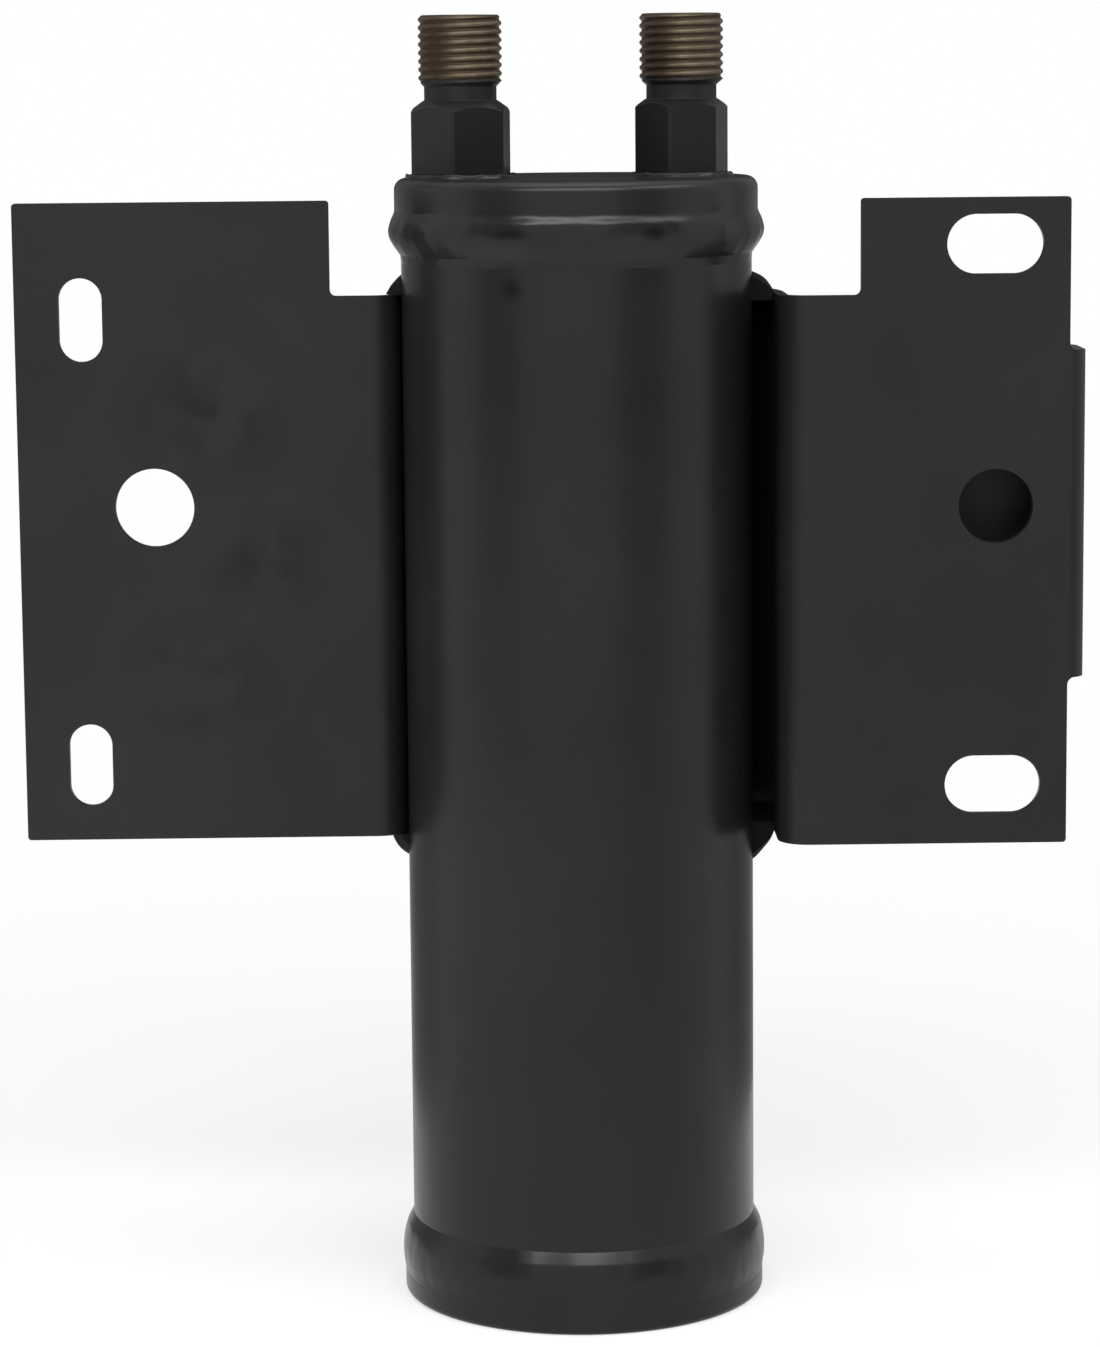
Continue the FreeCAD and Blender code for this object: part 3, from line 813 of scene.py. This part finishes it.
def folded(along, deep, height):
    """Where a point of the flat blank lands: along the strip, deep in the sheet, and its height."""
    place = Vector((-left_out, left_y, 0))
    way = Vector((1, 0, 0))
    left = along
    for part in strip:
        length = piece_length(part)
        used = min(left, length) if part is not strip[-1] else left
        across = Vector((-way.y, way.x, 0))
        if part[0] == "line":
            place = place + way * used
        else:
            centre = place + across * part[2] * part[1]
            turn = Matrix.Rotation(part[2] * used / part[1], 3, "Z")
            place = centre + turn @ (place - centre)
            way = turn @ way
        left -= used
        if left <= 0:
            break
    across = Vector((-way.y, way.x, 0))
    return (place + across * deep + Vector((0, 0, height))) * MM


stations = [0.0]
for part in strip:
    stations.append(stations[-1] + piece_length(part))
right_wing_start = stations[7]
wing_end = stations[8]
strip_end = stations[-1]
print("developed length of the strip:", round(strip_end, 1), "mm")

# %% [markdown]
# The blank is drawn flat, with x along the strip and z up. Each corner of its outline has a
# radius of its own, and each opening has a place, a width, a length and a direction. One fill
# then makes the sheet, and it leaves the openings free.

# %% Sizes of the blank, in millimetres
wing_low = bracket_low.z
wing_high = bracket_high.z
notch_gap = 5.4
left_notch_x = 42.3
right_notch_x = 47.4
tab_rise = 28.5
tab_height = 55.8
shear_r = 0.6
notch_r = 1.0
relief_r = 1.3
notch_floor = top_bead_low.z - notch_gap
left_notch = left_out - left_notch_x
right_notch = right_wing_start + right_notch_x - right_bend_x
tab_low = wing_low + tab_rise
tab_high = tab_low + tab_height
outline = [(0, wing_low, shear_r), (wing_end, wing_low, shear_r), (wing_end, tab_low, relief_r),
           (strip_end, tab_low, shear_r), (strip_end, tab_high, shear_r),
           (wing_end, tab_high, relief_r), (wing_end, wing_high, shear_r),
           (right_notch, wing_high, shear_r), (right_notch, notch_floor, notch_r),
           (left_notch, notch_floor, notch_r), (left_notch, wing_high, shear_r),
           (0, wing_high, shear_r)]
left_slot = {"along": 11.3, "width": 7.4, "length": 14.3, "upright": True}
left_hole = {"along": 23.3, "width": 13.5, "length": 13.5, "upright": True}
right_slot = {"along": wing_end - 12.7, "width": 10.0, "length": 16.3, "upright": False}
right_hole = {"along": wing_end - 12.4, "width": 12.5, "length": 12.5, "upright": True}
openings = [(left_slot, wing_low + 13.1), (left_slot, wing_high - 19.9),
            (left_hole, wing_low + 57.8), (right_slot, wing_low + 10.2),
            (right_slot, wing_high - 7.8), (right_hole, wing_low + 58.0)]
print("blank", round(strip_end, 1), "by", round(wing_high - wing_low, 1), "mm,",
      len(openings), "openings")

# %% Cut the flat blank
ring_points = 48
corner_segments = 5


def cut_opening(bm, height, along, width, length, upright):
    """The edge of a hole or a round-ended slot in the blank, as a loop of edges."""
    verts = bmesh.ops.create_circle(bm, cap_ends=False, radius=width / 2 * MM,
                                    segments=ring_points)["verts"]
    half_step = Matrix.Rotation(math.pi / ring_points, 3, "Z")
    stand_up = Matrix.Rotation(math.pi / 2, 3, "X")
    bmesh.ops.rotate(bm, verts=verts, cent=(0, 0, 0), matrix=stand_up @ half_step)
    half = (length - width) / 2 * MM
    for vert in verts:
        if upright:
            vert.co.z += math.copysign(half, vert.co.z)
        else:
            vert.co.x += math.copysign(half, vert.co.x)
    bmesh.ops.translate(bm, verts=verts, vec=(along * MM, 0, height * MM))


def flat_blank():
    """The outline with its rounded corners, filled round the openings."""
    bm = bmesh.new()
    corners = [bm.verts.new((along * MM, 0, height * MM)) for along, height, _ in outline]
    bm.faces.new(corners)
    for radius in sorted({radius for _, _, radius in outline}):
        chosen = [vert for vert, corner in zip(corners, outline) if corner[2] == radius]
        bmesh.ops.bevel(bm, geom=chosen, offset=radius * MM, segments=corner_segments,
                        profile=0.5, affect="VERTICES", material=-1, clamp_overlap=False)
    bmesh.ops.delete(bm, geom=bm.faces[:], context="FACES_ONLY")
    for opening, height in openings:
        cut_opening(bm, height, **opening)
    bmesh.ops.triangle_fill(bm, edges=bm.edges[:], use_beauty=True, use_dissolve=False)
    return bm


# %% [markdown]
# A sheared edge is never sharp under paint, so one inset runs round the rim and the openings.
# Each point then carries a depth: the rim's edge lies deeper than the face, which makes a fine
# bevel. The faces lie a little inside the solid's, so the shown sheet is 1.85 mm thick. Cuts
# across the strip give the bends their facets, and an extrusion makes the sheet's back.

# %% Bevel the rim, thicken the blank and fold it
edge_depth = 0.25
face_depth = 0.073
bevel_width = 0.073
bend_cuts = {saddle_r: 36, leg_r: 36, bend_r: 10, tab_bend_r: 8}


def bracket_mesh():
    """The blank with a depth at each point, cut across at its bends, thickened and folded."""
    bm = flat_blank()
    bmesh.ops.inset_region(bm, faces=bm.faces[:], thickness=bevel_width * MM, depth=0,
                           use_boundary=True, use_even_offset=True)
    rim = bm.verts.layers.float.new("rim")
    for vert in bm.verts:
        vert[rim] = edge_depth if vert.is_boundary else face_depth
    for index, part in enumerate(strip):
        cuts = 0 if part[0] == "line" else bend_cuts[part[1]]
        for step in range(cuts + 1):
            along = stations[index] + piece_length(part) * step / max(cuts, 1)
            bmesh.ops.bisect_plane(bm, geom=bm.verts[:] + bm.edges[:] + bm.faces[:], dist=seam,
                                   plane_co=(along * MM, 0, 0), plane_no=(1, 0, 0))
    back = bmesh.ops.extrude_face_region(bm, geom=bm.faces[:])["geom"]
    behind = {part for part in back if isinstance(part, bmesh.types.BMVert)}
    for vert in bm.verts:
        deep = sheet - vert[rim] if vert in behind else vert[rim]
        vert.co = folded(vert.co.x / MM, deep, vert.co.z / MM)
    return bm


add_piece("folded_bracket", bracket_mesh(), [sheet_paint.material], "black_paint",
          "mounting_bracket")

# %% [markdown]
# Four short welds hold the bracket. The left ones are fillets that start small, swell and die
# away. On the right the sheet stands off the tube, so the weld there fills the gap as well, and
# the lower one hangs down in a lump. Each gets its own size and its own lumps.

# %% Sizes of the short welds, in millimetres
ahead = 4.0
behind = 14.0
weld_root = 1.5
crown_share = 0.6
weld_span = (ahead + behind) / body_r
weld_steps = 60
corner_welds = {
    "left_top_weld": {"side": -1, "edge": notch_floor, "rise": 3.9, "width": 3.0, "seed": 2.1},
    "left_bottom_weld": {"side": -1, "edge": wing_low, "rise": -4.9, "width": 4.0, "seed": 5.4},
    "right_top_weld": {"side": 1, "edge": notch_floor, "rise": 3.9, "width": 3.85, "seed": 7.9},
    "right_bottom_weld": {"side": 1, "edge": wing_low, "rise": -6.8, "width": 3.85, "seed": 11.2},
}


print("short welds:", len(corner_welds), "each", round(ahead + behind, 1), "mm along the tube")

# %% Lay the short welds


def leg_reach(angle):
    """How far the right part of the sheet is from the tube's axis, at an angle from +X."""
    across = leg_r / math.cos(angle)
    if across * math.sin(angle) < -right_gap:
        return across
    drop = right_gap * math.sin(angle)
    return math.sqrt(leg_r ** 2 - (right_gap * math.cos(angle)) ** 2) - drop


def corner_weld_mesh(weld):
    """A lumpy fillet from ahead of the tube's side to behind it, made on the right side."""
    edge, rise, width = weld["edge"], weld["rise"], weld["width"]
    bridging = weld["side"] > 0
    crown = (body_r + crown_share * width, edge + crown_share * rise)
    section = bulge_points((body_r + width, edge), crown, (body_r, edge + rise), 14)
    if bridging:
        root = edge - math.copysign(weld_root, rise)
        section += [(body_r, root), (body_r + right_gap, root), (body_r + right_gap, edge)]
    else:
        section += [(body_r, edge)]
    bm = lathe(section, weld_steps, closed=True, turn=weld_span)
    for vert in bm.verts:
        point = vert.co / MM
        angle = math.atan2(point.y, point.x)
        out = math.hypot(point.x, point.y) - body_r
        up = point.z - edge
        share = angle / weld_span
        fade = 1 - abs(2 * share - 1) ** 4
        lump = 1 - 0.3 * wander(Vector((0, angle * body_r, 0.6 * point.z)), 0.42, weld["seed"])
        if bridging and abs(out - right_gap) < 0.001 and up * rise < 0.001:
            out = leg_reach(angle - ahead / body_r) - body_r
        elif bridging:
            out *= 0.9 + 0.1 * lump
            up *= (0.7 + 0.3 * fade) * lump if up * rise > 0 else 1
        else:
            out *= (0.45 + 0.55 * fade) * lump
            up *= (0.45 + 0.55 * fade) * lump
        vert.co.z = (edge + up) * MM
        set_radius(vert, body_r + out)
    bmesh.ops.holes_fill(bm, edges=[edge for edge in bm.edges if edge.is_boundary], sides=0)
    turn = Matrix.Rotation(-ahead / body_r, 3, "Z")
    bmesh.ops.rotate(bm, verts=bm.verts, cent=(0, 0, 0), matrix=turn)
    bmesh.ops.scale(bm, verts=bm.verts, vec=(weld["side"], 1, 1))
    return bm


# Darker, nearly sheenless paint on the short welds is painted shade for the corners they fill.
weld_shade_black = (0.006, 0.006, 0.006)
weld_shade_paint = Finish("corner_weld_paint", weld_shade_black, 0.6, 0.07)
weld_shade_paint.bump(weld_shade_paint.noise(500, 3), 0.3, 0.0003)
for name, weld in corner_welds.items():
    add_piece(name.replace("weld", "fillet"), corner_weld_mesh(weld), [weld_shade_paint.material],
              "painted_weld", name)

# %% [markdown]
# What the canister holds can't be seen, so its solids stay as they are and only get a finish:
# drawn steel for the pickup tube, strainer, plates and spring, felt for the two pads, pale
# beads for the desiccant and a brassy fillet of braze.

# %% Finishes inside the canister


def inner_steel():
    """Drawn steel, with a grain that runs upwards."""
    steel = Finish("drawn_steel", (0.42, 0.42, 0.43), 0.3, 0.5, 1.0)
    steel.rough(steel.ranged(steel.noise(300, 3, stretch=(1, 1, 0.1)), 0.3, 0.7, 0.24, 0.42))
    steel.bump(steel.noise(1500, 2, stretch=(1, 1, 0.05)), 0.08, 0.00005)
    return steel.material


def felt():
    """Off-white felt with a fine, deep nap."""
    wool = Finish("pad_felt", (0.62, 0.6, 0.55), 0.95, 0.2)
    wool.colour(wool.mixed(wool.noise(900, 5), (0.48, 0.46, 0.41), (0.72, 0.70, 0.65)))
    wool.bump(wool.noise(2200, 4), 0.6, 0.0003)
    return wool.material


def bead_bed():
    """Round cells that read as packed beads."""
    beads = Finish("desiccant_beads", (0.6, 0.5, 0.36), 0.75, 0.3)
    cells = add_node(beads.tree, "ShaderNodeTexVoronoi", {"Vector": beads.place, "Scale": 480})
    shade = beads.ranged(cells.outputs["Distance"], 0.0, 0.7)
    beads.colour(beads.mixed(shade, (0.66, 0.56, 0.42), (0.22, 0.17, 0.11)))
    beads.bump(beads.ranged(cells.outputs["Distance"], 0.0, 0.8, 1.0, 0.0), 0.8, 0.0008)
    return beads.material


def braze():
    """Bare brassy braze."""
    fillet = Finish("braze_fillet", (0.55, 0.36, 0.13), 0.35, 0.5, 1.0)
    fillet.rough(fillet.ranged(fillet.noise(800, 4), 0.3, 0.7, 0.25, 0.5))
    return fillet.material


steel_inside = inner_steel()
felt_inside = felt()
inner_finish = {
    "pickup_tube": steel_inside,
    "strainer": steel_inside,
    "lower_perforated_plate": steel_inside,
    "upper_perforated_plate": steel_inside,
    "hold_down_spring": steel_inside,
    "pickup_braze_ring": braze(),
    "lower_filter_pad": felt_inside,
    "upper_filter_pad": felt_inside,
    "desiccant_bed": bead_bed(),
}
for name, material in inner_finish.items():
    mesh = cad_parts[name].data
    mesh.materials.clear()
    mesh.materials.append(material)
print("inner solids with a finish:", len(inner_finish))

# %% [markdown]
# The photograph is cut out on pure white. So the world is white to the camera and in
# reflections, and the floor is pale near the object, where it keeps a soft shadow, and fades to
# white further out.

# %% Floor
white = (1, 1, 1, 1)
floor_size = 3.0
floor_grey = 0.42
floor_lift = 0.62
fade_start = 0.12
fade_end = 0.45
floor = bpy.data.objects.new("floor", bpy.data.meshes.new("floor"))
bm = bmesh.new()
bmesh.ops.create_grid(bm, x_segments=1, y_segments=1, size=floor_size)
bm.to_mesh(floor.data)
bm.free()
scene.collection.objects.link(floor)


def white_to_sight(tree):
    """One where the camera, a mirror or glass looks, nought for the light that falls on things."""
    path = add_node(tree, "ShaderNodeLightPath")
    total = path.outputs["Is Camera Ray"]
    for name in ("Is Glossy Ray", "Is Transmission Ray"):
        either = add_node(tree, "ShaderNodeMath", {0: total, 1: path.outputs[name]},
                          operation="MAXIMUM")
        total = either.outputs[0]
    return total


def bare_material(name):
    """A node material with its output alone."""
    material = bpy.data.materials.new(name)
    material.use_nodes = True
    material.node_tree.nodes.remove(material.node_tree.nodes["Principled BSDF"])
    return material, material.node_tree


def blend_out(tree, amount, first, second):
    """Sends a mix of two shaders to the output."""
    inputs = {"Fac": amount, 1: first.outputs[0], 2: second.outputs[0]}
    blend = add_node(tree, "ShaderNodeMixShader", inputs)
    tree.links.new(blend.outputs[0], tree.nodes["Material Output"].inputs["Surface"])


def floor_finish():
    """Pale matt card near the object, fading to pure white further out."""
    material, tree = bare_material("pale_floor")
    grey = (floor_grey, floor_grey, floor_grey, 1)
    matt = add_node(tree, "ShaderNodeBsdfDiffuse", {"Color": grey})
    lift = add_node(tree, "ShaderNodeMath", {0: white_to_sight(tree), 1: floor_lift},
                    operation="MULTIPLY")
    glow = add_node(tree, "ShaderNodeEmission", {"Color": white, "Strength": lift.outputs[0]})
    near = add_node(tree, "ShaderNodeAddShader", {0: matt.outputs[0], 1: glow.outputs[0]})
    far = add_node(tree, "ShaderNodeEmission", {"Color": white})
    place = add_node(tree, "ShaderNodeTexCoord").outputs["Object"]
    distance = add_node(tree, "ShaderNodeVectorMath", {0: place}, operation="LENGTH")
    fade = add_node(tree, "ShaderNodeMapRange", {"Value": distance.outputs["Value"],
                                                 "From Min": fade_start, "From Max": fade_end})
    blend_out(tree, fade.outputs["Result"], near, far)
    return material


floor.data.materials.append(floor_finish())
print("floor:", 2 * floor_size, "metres wide, white beyond", fade_end)

# %% World
world = bpy.data.worlds.new("white_room")
scene.world = world
world.use_nodes = True
background = world.node_tree.nodes["Background"]
background.inputs["Color"].default_value = white
ambient = 0.18
level = add_node(world.node_tree, "ShaderNodeMapRange",
                 {"Value": white_to_sight(world.node_tree), "To Min": ambient, "To Max": 1.0})
world.node_tree.links.new(level.outputs["Result"], background.inputs["Strength"])
print("world: white to the camera and to mirrors,", ambient, "as light")

# %% [markdown]
# A long lamp high in front draws the thin lights along the beads and the edge of the plate,
# and one to the right gives the turned edges a second line. The overhead lamp lights the plate.
# Three weak fills lift the sides without showing in the paint as bright spots.

# %% Lamps
eye_height = 0.14


def around(azimuth, elevation, distance):
    """A place seen from the canister's middle: azimuth from the viewer towards +X, in degrees."""
    level = distance * math.cos(math.radians(elevation))
    return Vector((level * math.sin(math.radians(azimuth)), -level * math.cos(math.radians(azimuth)),
                   eye_height + distance * math.sin(math.radians(elevation))))


def soft_lamp(name, azimuth, elevation, distance, size, power):
    """A rectangular area lamp that faces the middle of the canister."""
    data = bpy.data.lights.new(name, "AREA")
    data.shape = "RECTANGLE"
    data.size, data.size_y = size
    data.energy = power
    lamp = bpy.data.objects.new(name, data)
    lamp.location = around(azimuth, elevation, distance)
    way = Vector((0, 0, eye_height)) - lamp.location
    lamp.rotation_euler = way.to_track_quat("-Z", "Y").to_euler()
    scene.collection.objects.link(lamp)
    return lamp


soft_lamp("overhead", 0, 85, 1.2, (0.9, 0.6), 5)
soft_lamp("front_high", -4, 40, 1.1, (1.3, 0.22), 10)
soft_lamp("right_high", 62, 44, 1.1, (0.7, 0.16), 3)
fills = [soft_lamp("left_fill", -50, -27, 0.26, (0.12, 0.12), 0.4),
         soft_lamp("left_side", -95, 5, 1.3, (0.5, 1.1), 1.0),
         soft_lamp("right_side", 88, 5, 1.3, (0.5, 1.1), 0.8)]
for fill in fills:
    fill.visible_glossy = False

# %% [markdown]
# Satin paint shows what stands round it. Two black cards beside the camera, which only
# reflections see, put the two darker bands on the tube. Two grey ones just behind the object
# keep its outline from turning white, and a dark one at the back keeps the top plate from
# shining. Their edges are soft, because a hard edge would draw a line on the beads.

# %% Cards that only reflections see


def card_material(name, level, half, soft):
    """A flat tone that a mirror shows, fading out over the soft part of the half width."""
    material, tree = bare_material(name)
    glow = add_node(tree, "ShaderNodeEmission", {"Color": white, "Strength": level})
    clear = add_node(tree, "ShaderNodeBsdfTransparent")
    place = add_node(tree, "ShaderNodeTexCoord").outputs["Object"]
    split = add_node(tree, "ShaderNodeSeparateXYZ", {0: place})
    across = add_node(tree, "ShaderNodeMath", {0: split.outputs["X"]}, operation="ABSOLUTE")
    fade = add_node(tree, "ShaderNodeMapRange",
                    {"Value": across.outputs[0], "From Min": half * (1 - soft), "From Max": half},
                    interpolation_type="SMOOTHSTEP")
    blend_out(tree, fade.outputs["Result"], glow, clear)
    return material


def reflected_card(name, azimuth, distance, half_width, low, high, level, soft=0.7):
    """An upright card seen from the canister between two azimuths and two heights."""
    side = distance * math.tan(math.radians(half_width))
    bm = bmesh.new()
    corners = ((-side, low), (side, low), (side, high), (-side, high))
    bm.faces.new([bm.verts.new((x, -distance, z)) for x, z in corners])
    card = bpy.data.objects.new(name, bpy.data.meshes.new(name))
    bm.to_mesh(card.data)
    bm.free()
    card.rotation_euler.z = math.radians(azimuth)
    card.data.materials.append(card_material(name, level, side, soft))
    card.visible_camera = False
    card.visible_diffuse = False
    card.visible_shadow = False
    scene.collection.objects.link(card)


reflected_card("left_card", -53, 1.0, 22, 0.002, 1.6, 0.0)
reflected_card("right_card", 42, 1.0, 24, 0.002, 1.6, 0.0)
reflected_card("left_rim_card", -128, 0.14, 36, 0.002, 0.3, 0.3)
reflected_card("right_rim_card", 128, 0.14, 36, 0.002, 0.3, 0.3)
reflected_card("back_card", 180, 1.0, 40, 0.15, 1.4, 0.06, soft=0.2)

# %% [markdown]
# Colours should render as they are written, so the view transform is Standard and nothing
# else is changed.

# %% Finish
scene.view_settings.view_transform = "Standard"
